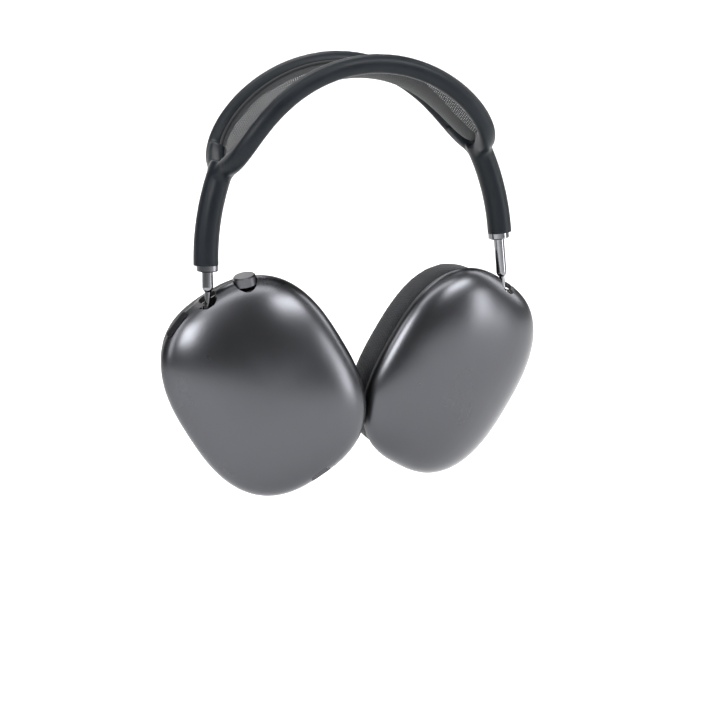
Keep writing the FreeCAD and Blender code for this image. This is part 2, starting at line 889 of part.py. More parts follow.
def cushion_shape():
    """Ring of knit covered foam round the ear."""
    high = -dim("baffle_thickness") - dim("cushion_gap") - dim("cushion_plate_thickness")
    low = high - dim("cushion_depth")
    ring = outline_slab(dim("cushion_inset"), low, high)
    rounded = [edge for edge in ring.Edges if edge.BoundBox.ZMax < low + 0.01]
    ring = ring.makeFillet(5.5, rounded)
    return ring.cut(ear_slab(0, low - 1, high + 1))


def grille_body(side):
    """Perforated disc in front of the driver: three rings of holes."""
    label = "speaker_grille_" + side
    body = doc.addObject("PartDesign::Body", label + "_body")
    sketch = new_sketch(body, "XY_Plane", label + "_profile")
    sketch.addGeometry(Part.Circle(Vector(0, 0, 0), Z_AXIS, 17.9), False)
    sketch.addConstraint(Sketcher.Constraint("Coincident", 0, 3, -1, 1))
    number = sketch.addConstraint(Sketcher.Constraint("Radius", 0, 17.9))
    sketch.setExpression("Constraints[%d]" % number, bound("driver_opening_radius + 1.9"))
    pad = body.newObject("PartDesign::Pad", label + "_pad")
    pad.Profile = sketch
    pad.Length = 0.7
    doc.recompute()
    for ring, count in ((5.0, 8), (9.5, 14), (14.0, 20)):
        hole = new_sketch(body, "XY_Plane", "%s_hole_%d" % (label, count))
        hole.addGeometry(Part.Circle(Vector(ring, 0, 0), Z_AXIS, 1.3), False)
        hole.addConstraint(Sketcher.Constraint("DistanceX", -1, 1, 0, 3, ring))
        hole.addConstraint(Sketcher.Constraint("PointOnObject", 0, 3, -1))
        hole.addConstraint(Sketcher.Constraint("Radius", 0, 1.3))
        pocket = body.newObject("PartDesign::Pocket", "%s_pocket_%d" % (label, count))
        pocket.Profile = hole
        pocket.Type = 1
        pocket.Midplane = True
        hole.Visibility = False
        pattern = body.newObject("PartDesign::PolarPattern", "%s_ring_%d" % (label, count))
        pattern.Originals = [pocket]
        pattern.Axis = (sketch, ["N_Axis"])
        pattern.Angle = 360
        pattern.Occurrences = count
        body.Tip = pattern
        doc.recompute()
    sketch.Visibility = False
    low = Vector(0, 0, -dim("baffle_thickness") + 0.05)
    keep(body, label, cup_frame(side).multiply(Placement(low, Rotation())))


def add_driver(side):
    place = cup_frame(side)
    turned(
        "driver_frame_" + side,
        [
            ("driver_opening_radius", "0"),
            ("driver_radius", "0"),
            ("driver_radius", "1.5"),
            ("driver_opening_radius + 1.5", "1.5"),
            ("magnet_radius + 1.5", "driver_depth - 1"),
            ("magnet_radius + 1.5", "driver_depth"),
            ("magnet_radius - 2", "driver_depth"),
            ("magnet_radius - 2", "driver_depth - 0.8"),
            ("magnet_radius", "driver_depth - 1.4"),
            ("driver_opening_radius", "1.4"),
        ],
        place,
    )
    turned(
        "driver_magnet_" + side,
        [
            ("0", "driver_depth"),
            ("magnet_radius", "driver_depth"),
            ("magnet_radius", "driver_depth + 3.6"),
            ("magnet_radius - 0.5", "driver_depth + 4.1"),
            ("0", "driver_depth + 4.1"),
        ],
        place,
    )
    turned(
        "driver_diaphragm_" + side,
        [
            ("0", "3.4"),
            ("5", "2.4"),
            ("6", "2.8"),
            ("driver_opening_radius - 2.5", "0.9"),
            ("driver_opening_radius", "0.3"),
            ("driver_opening_radius", "0.6"),
            ("driver_opening_radius - 2.5", "1.2"),
            ("6", "3.1"),
            ("5", "2.7"),
            ("0", "3.7"),
        ],
        place,
    )
    grille_body(side)


def add_cup(side):
    place = cup_frame(side)
    shaped("outer_shell_" + side, shell_shape(side), place)
    shaped("joint_liner_" + side, recess_liner_shape(side), place)
    shaped("gimbal_cradle_" + side, bracket_shape(side), place)
    shaped("swivel_barrel_" + side, barrel_shape(), barrel_frame(side))
    shaped("tilt_axle_" + side, upright_axle_shape(), barrel_frame(side))
    shaped("baffle_" + side, baffle_shape(side), place)
    shaped("cushion_magnets_" + side, magnets_shape(), place)
    shaped("baffle_screws_" + side, screws_shape(), place)
    shaped("cushion_plate_" + side, cushion_plate_shape(), place)
    shaped("ear_mesh_" + side, ear_mesh_shape(), place)
    shaped("ear_cushion_" + side, cushion_shape(), place)
    add_driver(side)
    board_spot = Placement(Vector(0, -28.5, 1.2), Rotation())
    slab("circuit_board_" + side, "30", "13", "1", place.multiply(board_spot), "1.5")


def add_battery():
    """Flat rechargeable cell above the left cup's board."""
    spot = Placement(Vector(0, -28.5, 2.6), Rotation())
    slab("battery_cell", "26", "13", "3", cup_frame("left").multiply(spot), "1")


def add_controls():
    """Crown, noise control button, charging socket and status light, all on the right cup."""
    cup = cup_frame("right")
    turned(
        "crown_knob",
        [
            ("0", "crown_proud"),
            ("crown_diameter / 2 - 0.5", "crown_proud"),
            ("crown_diameter / 2", "crown_proud - 0.5"),
            ("crown_diameter / 2", "-2.2"),
            ("1.55", "-2.2"),
            ("1.55", "crown_proud - 1.2"),
            ("0", "crown_proud - 1.2"),
        ],
        cup.multiply(crown_frame()),
    )
    turned(
        "crown_shaft",
        [
            ("0", "crown_proud - 1.3"),
            ("1.5", "crown_proud - 1.3"),
            ("1.5", "-5.4"),
            ("0", "-5.4"),
        ],
        cup.multiply(crown_frame()),
    )
    switch_spot = Placement(Vector(0, 1.2, -8.2), Rotation())
    slab("crown_encoder", "6", "4.4", "2.2", cup.multiply(crown_frame()).multiply(switch_spot))
    button = oval_bar(
        dim("button_length") / 2,
        dim("button_width") / 2,
        -1.6,
        dim("button_proud"),
        Placement(),
    )
    shaped("noise_button", button, cup.multiply(button_frame()))
    switch_spot = Placement(Vector(0, 0, -3.2), Rotation())
    slab("noise_switch", "6", "1.6", "1.3", cup.multiply(button_frame()).multiply(switch_spot))
    socket = oval_bar(dim("port_width") / 2, dim("port_height") / 2, -8, -0.6, Placement())
    hollow = oval_bar(dim("port_width") / 2 - 0.35, dim("port_height") / 2 - 0.35, -7, 0, Placement())
    shaped("charging_port", socket.cut(hollow), cup.multiply(port_frame()))
    light = Part.makeCylinder(0.8, 2.4, Vector(7.5, 0, -2.9))
    shaped("status_light", light, cup.multiply(port_frame()))


def build():
    add_headband()
    for side in SIDES:
        add_arm(side)
        add_cup(side)
    add_battery()
    add_controls()
    doc.recompute()


def check_and_write():
    """Stop on any failed object or bad shape, then write one file for each sub-part."""
    for thing in doc.Objects:
        if "Invalid" in thing.State or "Error" in thing.State:
            raise RuntimeError("failed: %s" % thing.Label)
    for piece in pieces:
        if piece.Shape.isNull() or not piece.Shape.isValid():
            raise RuntimeError("bad shape: %s" % piece.Label)
    os.makedirs("parts", exist_ok=True)
    for piece in pieces:
        piece.Shape.exportStep("parts/%s.step" % piece.Label)
        print("%-26s %9.1f mm3  %d solid(s)" % (piece.Label, piece.Shape.Volume, len(piece.Shape.Solids)))


build()
check_and_write()
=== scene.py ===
import json
import math

import bmesh
import bpy
from mathutils import Matrix, Vector


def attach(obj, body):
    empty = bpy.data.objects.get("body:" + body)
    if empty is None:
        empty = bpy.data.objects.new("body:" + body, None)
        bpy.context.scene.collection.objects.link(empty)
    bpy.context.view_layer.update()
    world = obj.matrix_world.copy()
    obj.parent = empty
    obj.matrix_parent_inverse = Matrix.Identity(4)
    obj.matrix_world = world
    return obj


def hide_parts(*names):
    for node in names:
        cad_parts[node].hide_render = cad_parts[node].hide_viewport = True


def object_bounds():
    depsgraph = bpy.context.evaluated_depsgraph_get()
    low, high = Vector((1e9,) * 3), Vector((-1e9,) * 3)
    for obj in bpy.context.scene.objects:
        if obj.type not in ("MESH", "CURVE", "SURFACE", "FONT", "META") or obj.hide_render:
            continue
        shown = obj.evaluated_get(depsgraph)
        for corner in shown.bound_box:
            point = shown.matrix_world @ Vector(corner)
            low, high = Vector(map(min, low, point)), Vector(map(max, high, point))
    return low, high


# Over ear headphones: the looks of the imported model.  The object's own lengths are millimetres
# in the design's frame, and MM turns them into metres; the stage, lights and camera are in metres.

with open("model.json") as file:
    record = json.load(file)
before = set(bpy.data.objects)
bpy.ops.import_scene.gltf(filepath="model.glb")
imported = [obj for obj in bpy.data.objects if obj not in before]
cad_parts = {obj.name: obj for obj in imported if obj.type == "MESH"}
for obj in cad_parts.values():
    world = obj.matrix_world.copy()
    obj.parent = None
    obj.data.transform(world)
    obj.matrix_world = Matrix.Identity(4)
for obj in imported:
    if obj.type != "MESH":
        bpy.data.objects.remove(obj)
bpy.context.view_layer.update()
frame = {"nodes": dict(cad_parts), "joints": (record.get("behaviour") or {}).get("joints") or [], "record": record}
nodes = frame["nodes"]
record = frame["record"]
MM = 0.001
SIDES = {"left": 1, "right": -1}
scene = bpy.context.scene


# ------------------------------------------------------------------ mesh helpers


def new_object(name, mesh):
    piece = bpy.data.objects.new(name, mesh)
    scene.collection.objects.link(piece)
    return piece


def mesh_object(name, points, faces, scale=MM):
    """A smooth shaded mesh object from points in millimetres."""
    mesh = bpy.data.meshes.new(name)
    mesh.from_pydata([Vector(p) * scale for p in points], [], faces)
    mesh.validate()
    mesh.update()
    mesh.shade_smooth()
    return new_object(name, mesh)


def outward_faces(mesh):
    work = bmesh.new()
    work.from_mesh(mesh)
    bmesh.ops.recalc_face_normals(work, faces=work.faces)
    work.to_mesh(mesh)
    work.free()


def tube(rings, closed):
    """Faces and points of a tube through rings of equal length; capped unless closed."""
    size = len(rings[0])
    points = [p for ring in rings for p in ring]
    faces = []
    spans = len(rings) if closed else len(rings) - 1
    for i in range(spans):
        j = (i + 1) % len(rings)
        for k in range(size):
            n = (k + 1) % size
            faces.append((i * size + k, i * size + n, j * size + n, j * size + k))
    if not closed:
        faces.append(tuple(reversed(range(size))))
        last = (len(rings) - 1) * size
        faces.append(tuple(range(last, last + size)))
    return points, faces


def joined(parts):
    """Several (points, faces) lists as one."""
    points, faces = [], []
    for more_points, more_faces in parts:
        start = len(points)
        points += more_points
        faces += [tuple(i + start for i in face) for face in more_faces]
    return points, faces


def bake(piece):
    """Applies every modifier on a piece to its mesh."""
    graph = bpy.context.evaluated_depsgraph_get()
    mesh = bpy.data.meshes.new_from_object(piece.evaluated_get(graph), depsgraph=graph)
    old = piece.data
    piece.modifiers.clear()
    piece.data = mesh
    bpy.data.meshes.remove(old)
    mesh.shade_smooth()


# ------------------------------------------------------------------ headband line

CROWN_RADIUS = 62.2
CROWN_ANGLE = 61.5
CROWN_RISE = 7.0
LEG_RADIUS = 98.0
LEG_ANGLE = 26.6
LOOP_REACH = 73.7
LOOP_HALF_WIDTH = 20.0
LOOP_END_POWER = 6.6
LEG_DIAMETER = 10.3
BAND_LENGTH = math.radians(CROWN_ANGLE) * CROWN_RADIUS + math.radians(LEG_ANGLE) * LEG_RADIUS


def band_angle(along):
    distance = abs(along)
    turn = math.degrees(distance / CROWN_RADIUS)
    if turn > CROWN_ANGLE:
        past = distance - math.radians(CROWN_ANGLE) * CROWN_RADIUS
        turn = CROWN_ANGLE + math.degrees(past / LEG_RADIUS)
    return math.copysign(turn, along)


def band_outward(along):
    angle = math.radians(band_angle(along))
    return Vector((math.sin(angle), 0, math.cos(angle)))


def band_point(along):
    """Point on the band's centreline at a distance along it from the crown."""
    angle = math.radians(abs(band_angle(along)))
    crown = math.radians(CROWN_ANGLE)
    x, z = CROWN_RADIUS * math.sin(angle), CROWN_RADIUS * math.cos(angle)
    if angle > crown:
        step = CROWN_RADIUS - LEG_RADIUS
        x = step * math.sin(crown) + LEG_RADIUS * math.sin(angle)
        z = step * math.cos(crown) + LEG_RADIUS * math.cos(angle)
    return Vector((math.copysign(x, along), 0, z + CROWN_RISE - CROWN_RADIUS))


def loop_half_width(along, reach, half_width):
    ratio = min(abs(along) / reach, 1.0)
    return half_width * math.sqrt(max(0.0, 1 - ratio**LOOP_END_POWER))


def loop_route(count):
    """Evenly spaced (along, across) points round the whole loop."""
    fine = []
    for step in range(4000):
        turn = 2 * math.pi * step / 4000
        cosine = math.cos(turn)
        along = math.copysign(LOOP_REACH * abs(cosine) ** (2 / LOOP_END_POWER), cosine)
        fine.append((along, LOOP_HALF_WIDTH * math.sin(turn)))
    fine.append(fine[0])
    run = [0.0]
    for a, b in zip(fine, fine[1:]):
        run.append(run[-1] + math.dist(a, b))
    route, index = [], 0
    for step in range(count):
        target = run[-1] * step / count
        while run[index + 1] < target:
            index += 1
        share = (target - run[index]) / (run[index + 1] - run[index])
        a, b = fine[index], fine[index + 1]
        route.append((a[0] + (b[0] - a[0]) * share, a[1] + (b[1] - a[1]) * share))
    return route


def sweep_band(route, sizes, closed, sides=28):
    """A tube along (along, across) points; sizes are (depth, width) at each."""
    spots = [band_point(a) + Vector((0, c, 0)) for a, c in route]
    rings = []
    for i, (along, _) in enumerate(route):
        if closed:
            before, after = spots[i - 1], spots[(i + 1) % len(spots)]
        else:
            before, after = spots[max(i - 1, 0)], spots[min(i + 1, len(spots) - 1)]
        tangent = (after - before).normalized()
        outward = band_outward(along)
        outward = (outward - tangent * outward.dot(tangent)).normalized()
        across = tangent.cross(outward)
        depth, width = sizes[i]
        ring = []
        for k in range(sides):
            turn = 2 * math.pi * k / sides
            ring.append(
                spots[i]
                + outward * (depth / 2 * math.cos(turn))
                + across * (width / 2 * math.sin(turn))
            )
        rings.append(ring)
    return tube(rings, closed)


def ease(t):
    t = max(0.0, min(1.0, t))
    return t * t * (3 - 2 * t)


RAIL_SIZE = (8.0, 6.2)
LEG_TRIM = 2.5
WEB_START = 10
WEB_RUN = 17.5
WEB_SPREAD = 12.5


def trim_legs(cover):
    """Cuts each leg square at its true end."""
    mesh = bmesh.new()
    mesh.from_mesh(cover.data)
    for sign in (1, -1):
        end = band_point(sign * BAND_LENGTH)
        tangent = (end - band_point(sign * (BAND_LENGTH - 0.5))).normalized()
        cut = bmesh.ops.bisect_plane(
            mesh,
            geom=mesh.verts[:] + mesh.edges[:] + mesh.faces[:],
            plane_co=end * MM,
            plane_no=tangent,
            clear_outer=True,
        )
        rim = [part for part in cut["geom_cut"] if isinstance(part, bmesh.types.BMEdge)]
        for face in bmesh.ops.edgeloop_fill(mesh, edges=rim)["faces"]:
            face.smooth = False
    mesh.to_mesh(cover.data)
    mesh.free()


def headband_cover():
    """Two rubber rails that close into a loop and run out into a round leg at each end."""
    parts = []
    route = loop_route(320)
    parts.append(sweep_band(route, [RAIL_SIZE] * len(route), True))
    for sign in (1, -1):
        count = 60
        start = LOOP_REACH - 2.5
        stop = BAND_LENGTH + LEG_TRIM
        legs = [sign * (start + (stop - start) * i / (count - 1)) for i in range(count)]
        parts.append(sweep_band([(a, 0) for a in legs], [(LEG_DIAMETER,) * 2] * count, False))
        for side in (1, -1):
            web, sizes = [], []
            for i in range(26):
                t = i / 25
                along = LOOP_REACH - WEB_START + WEB_RUN * t
                across = side * (WEB_SPREAD * (1 - ease(t)) ** 1.2)
                web.append((sign * along, across))
                sizes.append((7.6 + 1.6 * ease(t), 6.0 + 2.0 * t))
            parts.append(sweep_band(web, sizes, False))
    cover = mesh_object("headband_rubber", *joined(parts))
    outward_faces(cover.data)
    remesh = cover.modifiers.new("remesh", "REMESH")
    remesh.mode = "VOXEL"
    remesh.voxel_size = 0.6 * MM
    smooth = cover.modifiers.new("smooth", "SMOOTH")
    smooth.factor = 0.5
    smooth.iterations = 16
    bake(cover)
    trim_legs(cover)
    return cover


CANOPY_GAP = 3.0
CANOPY_DROP = 6.0
CANOPY_THICKNESS = 1.0
CANOPY_REACH_SHARE = 0.988


def canopy_spot(along, share, sink=0.5):
    """Point on the canopy: along the band, and from -1 to 1 across it."""
    reach = LOOP_REACH - CANOPY_GAP
    half_width = LOOP_HALF_WIDTH - CANOPY_GAP
    across = loop_half_width(along, reach, half_width)
    sag = CANOPY_DROP * across / half_width
    depth = sink * CANOPY_THICKNESS + sag * (1 - share * share)
    return band_point(along) - band_outward(along) * depth + Vector((0, across * share, 0))


def canopy_grid():
    reach = (LOOP_REACH - CANOPY_GAP) * CANOPY_REACH_SHARE
    rows, columns = 121, 33
    points, marks = [], []
    for i in range(rows):
        along = reach * math.sin(math.pi * (i / (rows - 1) - 0.5))
        for j in range(columns):
            share = math.sin(math.pi / 2 * (2 * j / (columns - 1) - 1))
            points.append(canopy_spot(along, share))
            half = loop_half_width(along, LOOP_REACH - CANOPY_GAP, LOOP_HALF_WIDTH - CANOPY_GAP)
            marks.append((along, half * share))
    faces = []
    for i in range(rows - 1):
        for j in range(columns - 1):
            a = i * columns + j
            faces.append((a, a + 1, a + columns + 1, a + columns))
    return points, faces, marks


def canopy_sheet():
    """Open knit stretched between the rails, sagging in towards the head."""
    points, faces, marks = canopy_grid()
    cloth = mesh_object("canopy_knit", points, faces)
    layer = cloth.data.uv_layers.new(name="knit")
    for loop in cloth.data.loops:
        layer.data[loop.index].uv = marks[loop.vertex_index]
    solid = cloth.modifiers.new("thickness", "SOLIDIFY")
    solid.thickness = 0.1 * MM
    solid.offset = 0
    bake(cloth)
    return cloth


def canopy_hem():
    """A narrow sewn welt where the knit meets the rubber."""
    reach = (LOOP_REACH - CANOPY_GAP) * CANOPY_REACH_SHARE
    count = 240
    spots = []
    for i in range(count):
        turn = 2 * math.pi * i / count
        along = reach * math.sin(math.pi / 2 * (1 - abs(turn / math.pi - 1) * 2))
        side = 1 if turn < math.pi else -1
        spots.append((along, side))
    rings = []
    centre = [canopy_spot(a, s, 0.45) for a, s in spots]
    for i in range(count):
        tangent = (centre[(i + 1) % count] - centre[i - 1]).normalized()
        outward = band_outward(spots[i][0])
        outward = (outward - tangent * outward.dot(tangent)).normalized()
        across = tangent.cross(outward)
        ring = []
        for k in range(10):
            turn = 2 * math.pi * k / 10
            ring.append(
                centre[i] + outward * (0.75 * math.cos(turn)) + across * (0.9 * math.sin(turn))
            )
        rings.append(ring)
    hem = mesh_object("canopy_hem", *tube(rings, True))
    outward_faces(hem.data)
    return hem


# ------------------------------------------------------------------ ear cup geometry

HALF_WIDTH = 37.2
HALF_LENGTH = 45.5
SQUARENESS = 2.63
SHELL_DEPTH = 14.0
SHELL_WALL = 1.5
JOINT = Vector((0, HALF_LENGTH - 0.25, 1.5))
GIMBAL_DEPTH = 8.0
ARM_LEAN = 3.0
CUP = {
    "left": {"lean": 35.8, "turn": 8.0, "tilt": 11.4},
    "right": {"lean": 31.5, "turn": 8.8, "tilt": 0.8},
}
# where each control sits on the wall: angle from the long axis, height over the seam, slope
CROWN_ON_WALL = (20.6, 2.3, 8.0)
BUTTON_ON_WALL = (-21.4, 2.4, None)
PORT_ON_WALL = (180, 3.4, 0)
# the shell's openings: half width, half height, how deep and how high the cut goes
RECESS_CUT = (5.1, 4.1, -6, 6)
CROWN_CUT = (4.9001, 4.9, -4.2, 4.8)
BUTTON_CUT = (6.1, 1.6, -3.2, 3)
PORT_CUT = (4.55, 1.65, -8, 3)
LIGHT_CUT = (0.8201, 0.82, -6, 3)
RECESS_SHIFT = 1.6
LIGHT_SHIFT = 7.5


def turned(axis, degrees):
    return Matrix.Rotation(math.radians(degrees), 4, axis)


def joint_named(name):
    return [j for j in frame["joints"] if j["name"] == name][0]


def cup_matrix(side):
    """Takes the cup's own frame in millimetres to the scene in metres."""
    sign, pose = SIDES[side], CUP[side]
    rotation = (
        turned("Y", -sign * ARM_LEAN)
        @ turned("Z", sign * pose["turn"])
        @ turned("X", pose["tilt"])
        @ turned("Y", sign * pose["lean"])
        @ turned("X", 90)
    )
    lean = math.radians(pose["lean"])
    gimbal = JOINT + GIMBAL_DEPTH * Vector((sign * math.sin(lean), -math.cos(lean), 0))
    pivot = Vector(joint_named("cup_tilt_" + side)["pos_m"])
    return Matrix.Translation(pivot) @ rotation @ Matrix.Scale(MM, 4) @ Matrix.Translation(-gimbal)


def outline(half_width, half_length, turn):
    """Point on a superellipse at a polar angle from +X."""
    c, s = math.cos(turn), math.sin(turn)
    total = abs(c / half_width) ** SQUARENESS + abs(s / half_length) ** SQUARENESS
    radius = total ** (-1 / SQUARENESS)
    return Vector((radius * c, radius * s, 0))


def wall_matrix(place):
    """On the shell's wall: X along it, Y towards the shell's face, Z outward."""
    angle, height, slope = place
    spot = outline(HALF_WIDTH, HALF_LENGTH, math.radians(90 - angle))
    power = SQUARENESS - 1
    normal = Vector(
        (
            math.copysign(abs(spot.x) ** power, spot.x) / HALF_WIDTH**SQUARENESS,
            math.copysign(abs(spot.y) ** power, spot.y) / HALF_LENGTH**SQUARENESS,
            0,
        )
    ).normalized()
    shrink = math.sqrt(1 - (height / SHELL_DEPTH) ** 2)
    if slope is None:
        slope = math.degrees(math.atan(spot.length * height / (SHELL_DEPTH**2 * shrink)))
    up = Vector((0, 0, 1))
    along = up.cross(normal)
    rows = Matrix((along, up, normal)).transposed().to_4x4()
    return Matrix.Translation(spot * shrink + up * height) @ rows @ turned("X", -slope)


def pill_bar(half_width, half_height, low, high, sides=24):
    """A straight bar with a pill section along Z."""
    flat = half_width - half_height
    ring = []
    for k in range(sides * 2):
        turn = 2 * math.pi * (k + 0.5) / (sides * 2) - math.pi / 2
        shift = flat if math.cos(turn) > 0 else -flat
        ring.append((shift + half_height * math.cos(turn), half_height * math.sin(turn)))
    rings = [[Vector((x, y, z)) for x, y in ring] for z in (low, high)]
    return tube(rings, False)


def cutter(shape, matrix):
    points, faces = shape
    tool = mesh_object("cutter", [matrix @ p for p in points], faces, 1.0)
    outward_faces(tool.data)
    return tool


def carve(piece, tools):
    for tool in tools:
        cut = piece.modifiers.new("cut", "BOOLEAN")
        cut.operation = "DIFFERENCE"
        cut.solver = "EXACT"
        cut.object = tool
    bake(piece)
    for tool in tools:
        bpy.data.objects.remove(tool)


def shell_rings(sides):
    """Rings from the inner pole, over the rim and its chamfer, to the outer pole."""
    rings = []
    steps = 26
    inner_depth = SHELL_DEPTH - SHELL_WALL
    for i in range(1, 15):
        angle = math.pi / 2 * (1 - i / 14)
        rings.append((SHELL_WALL, math.cos(angle), inner_depth * math.sin(angle)))
    chamfer = 0.42
    rings.append((chamfer, 1.0, 0.0))
    rings.append((chamfer - 0.06, 1.0, 0.03))
    rings.append((0.03, 1.0, chamfer - 0.06))
    first = math.asin(chamfer / SHELL_DEPTH)
    for i in range(steps):
        angle = first + (math.pi / 2 - first) * (i / steps)
        rings.append((0.0, math.cos(angle), SHELL_DEPTH * math.sin(angle)))
    made = []
    for inset, scale, height in rings:
        ring = []
        for k in range(sides):
            p = outline(HALF_WIDTH - inset, HALF_LENGTH - inset, 2 * math.pi * k / sides) * scale
            ring.append(Vector((p.x, p.y, height)))
        made.append(ring)
    return made


def outer_normal(p):
    """Outward direction of the shell's outer surface at a point, and how far off it the point is."""
    shrink = max(1e-9, abs(p.x / HALF_WIDTH) ** SQUARENESS + abs(p.y / HALF_LENGTH) ** SQUARENESS)
    off = shrink ** (2 / SQUARENESS) + (p.z / SHELL_DEPTH) ** 2 - 1
    power = SQUARENESS - 1
    lead = 2 * shrink ** (2 / SQUARENESS - 1)
    normal = Vector(
        (
            lead * math.copysign(abs(p.x) ** power, p.x) / HALF_WIDTH**SQUARENESS,
            lead * math.copysign(abs(p.y) ** power, p.y) / HALF_LENGTH**SQUARENESS,
            2 * p.z / SHELL_DEPTH**2,
        )
    )
    return normal.normalized(), off


def ear_shell(side):
    """Pillow shaped aluminium shell with cut-outs and a polished rim with a painted highlight."""
    sides = 144
    points, faces = tube(shell_rings(sides), False)
    faces = faces[:-2]
    last = len(points) - sides
    points.append(Vector((0, 0, SHELL_DEPTH)))
    points.append(Vector((0, 0, SHELL_DEPTH - SHELL_WALL)))
    for k in range(sides):
        faces.append((last + k, last + (k + 1) % sides, len(points) - 2))
        faces.append(((k + 1) % sides, k, len(points) - 1))
    shell = mesh_object("ear_shell_" + side, points, faces, 1.0)
    outward_faces(shell.data)
    sign = SIDES[side]
    recess = Matrix.Translation(JOINT + Vector((sign * RECESS_SHIFT, 0, 0))) @ turned("X", -90)
    tools = [cutter(pill_bar(*RECESS_CUT), recess)]
    if side == "right":
        light = wall_matrix(PORT_ON_WALL) @ Matrix.Translation((LIGHT_SHIFT, 0, 0))
        tools.append(cutter(pill_bar(*CROWN_CUT, 32), wall_matrix(CROWN_ON_WALL)))
        tools.append(cutter(pill_bar(*BUTTON_CUT), wall_matrix(BUTTON_ON_WALL)))
        tools.append(cutter(pill_bar(*PORT_CUT), wall_matrix(PORT_ON_WALL)))
        tools.append(cutter(pill_bar(*LIGHT_CUT, 12), light))
    carve(shell, tools)
    finish_shell(shell, side)
    return shell


OFF_SURFACE = 0.012
RIM_CHAMFER = 0.41


def finish_shell(shell, side):
    """Exact normals on the outer surface, the rim's painted highlight marked, the shell put in place."""
    mesh = shell.data
    matrix = cup_matrix(side)
    turn = matrix.to_3x3().normalized()
    mesh.materials.clear()
    mesh.materials.append(MATERIALS["shell_aluminium"])
    # the rim chamfer gets a metal ten times lighter than the shell's: polish, and a painted highlight line along
    # the rim
    mesh.materials.append(MATERIALS["rim_polish_and_highlight"])
    mesh.materials.append(MATERIALS["black_plastic"])
    normals = [None] * len(mesh.loops)
    for face in mesh.polygons:
        middle = face.center
        outer, off = outer_normal(middle)
        flat = face.normal
        on_outer = abs(off) < OFF_SURFACE and flat.dot(outer) > 0.8 and middle.z > 0.3
        at_rim = middle.z < RIM_CHAMFER and 0.3 < -flat.z < 0.95
        face.material_index = 0 if on_outer else (1 if at_rim else 2)
        for index in face.loop_indices:
            corner = mesh.vertices[mesh.loops[index].vertex_index].co
            normals[index] = outer_normal(corner)[0] if on_outer else flat
    mesh.normals_split_custom_set([tuple(n) for n in normals])
    mesh.transform(matrix)
    mesh.normals_split_custom_set([tuple((turn @ n).normalized()) for n in normals])


# ------------------------------------------------------------------ cushions and cloth

CUSHION_BACK = -4.2
CUSHION_FRONT = -19.2
CUSHION_INSET = 1.6
CUSHION_SLACK = 0.7
CUSHION_VOXEL = 1.6
CUSHION_PRESSURE = 4.0
CUSHION_PUFF = 0.9
CLOTH_FRAMES = 20
EAR_HALF_WIDTH = 19.5
EAR_HALF_LENGTH = 29.5


def cushion_profile(turn, shrink):
    """Closed section of the cushion's ring at a polar angle, from the ear opening outwards."""
    inset = CUSHION_INSET + shrink
    outer = outline(HALF_WIDTH - inset, HALF_LENGTH - inset, turn)
    inner = outline(EAR_HALF_WIDTH + 0.5 + shrink, EAR_HALF_LENGTH + 0.5 + shrink, turn)
    back, front = CUSHION_BACK - shrink * 0.3, CUSHION_FRONT + shrink
    middle = (outer + inner) / 2
    reach = (outer - inner) / 2
    ring = []
    for k in range(40):
        around = 2 * math.pi * k / 40
        c, s = math.cos(around), math.sin(around)
        power = 2 / 3.4
        wide = math.copysign(abs(c) ** power, c)
        tall = math.copysign(abs(s) ** power, s)
        if s > 0:
            tall = math.copysign(abs(s) ** (2 / 5.5), s)
        spot = middle + reach * wide
        ring.append(Vector((spot.x, spot.y, (back + front) / 2 + (back - front) / 2 * tall)))
    return ring


def inflate(pad, voxel, pressure, cap):
    """The padded look: cloth under gentle pressure, with each point held near its start."""
    outward_faces(pad.data)
    remesh = pad.modifiers.new("remesh", "REMESH")
    remesh.mode = "VOXEL"
    remesh.voxel_size = voxel
    bake(pad)
    start = [v.co.copy() for v in pad.data.vertices]
    cloth = pad.modifiers.new("cloth", "CLOTH")
    cloth.settings.use_pressure = True
    cloth.settings.uniform_pressure_force = pressure
    cloth.settings.effector_weights.gravity = 0
    cloth.settings.quality = 5
    cloth.settings.mass = 0.3
    cloth.settings.tension_stiffness = 20
    cloth.settings.compression_stiffness = 20
    cloth.settings.bending_stiffness = 2
    cloth.point_cache.frame_start = 1
    cloth.point_cache.frame_end = CLOTH_FRAMES
    for number in range(1, CLOTH_FRAMES + 1):
        scene.frame_set(number)
    bake(pad)
    scene.frame_set(1)
    for vertex, before in zip(pad.data.vertices, start):
        shift = vertex.co - before
        if shift.length > cap:
            vertex.co = before + shift * (cap / shift.length)
    smooth = pad.modifiers.new("smooth", "SMOOTH")
    smooth.factor = 0.5
    smooth.iterations = 4
    divide = pad.modifiers.new("divide", "SUBSURF")
    divide.levels = 1
    divide.render_levels = 1
    bake(pad)


def ear_cushion(side):
    """Foam ring in a fine knit cover, its section squarer on the side next to its stiff plate."""
    sides = 200
    rings = [cushion_profile(2 * math.pi * k / sides, CUSHION_SLACK) for k in range(sides)]
    matrix = cup_matrix(side)
    points, faces = tube(rings, True)
    pad = mesh_object("cushion_pad_" + side, [matrix @ p for p in points], faces, 1.0)
    inflate(pad, CUSHION_VOXEL * MM, CUSHION_PRESSURE, CUSHION_PUFF * MM)
    return pad


